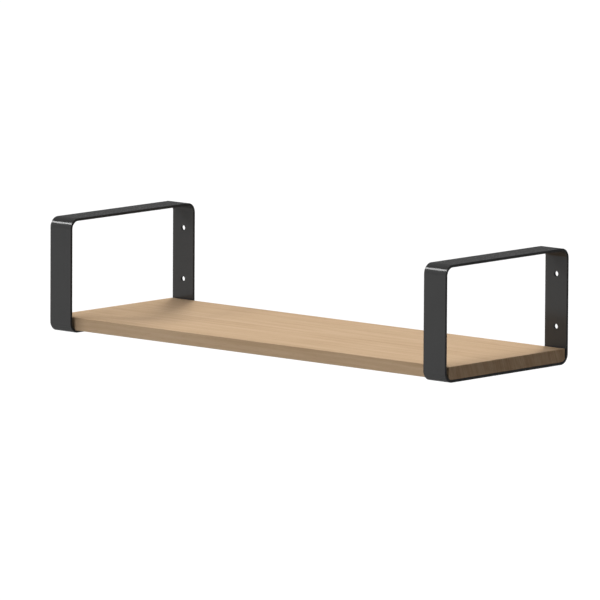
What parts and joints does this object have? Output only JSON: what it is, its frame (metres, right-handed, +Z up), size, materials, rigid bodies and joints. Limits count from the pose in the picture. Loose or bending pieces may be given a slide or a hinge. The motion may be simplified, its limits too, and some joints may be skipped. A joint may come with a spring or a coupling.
{
  "type": "wall shelf with brackets",
  "caption": "Wall shelf: a straight solid wood board carried in closed rectangular loops of black flat steel bar at its ends, which screw to the wall through their back legs.",
  "frame": {"origin": "centre of the four wall holes, on the wall plane that the back legs rest on", "axes": "+X along the shelf to the right as seen from the room, +Y into the wall, +Z up"},
  "size_m": [0.6, 0.2125, 0.1325],
  "materials": {
    "board_wood": "light straight-grained wood with a matt clear finish",
    "bracket_black": "black powder coat, satin",
    "screw_steel": "black zinc plated steel"
  },
  "bodies": {
    "root": {"shelf_board": "board_wood", "left_bracket": "bracket_black", "right_bracket": "bracket_black", "shelf_screws": "screw_steel"}
  },
  "joints": []
}
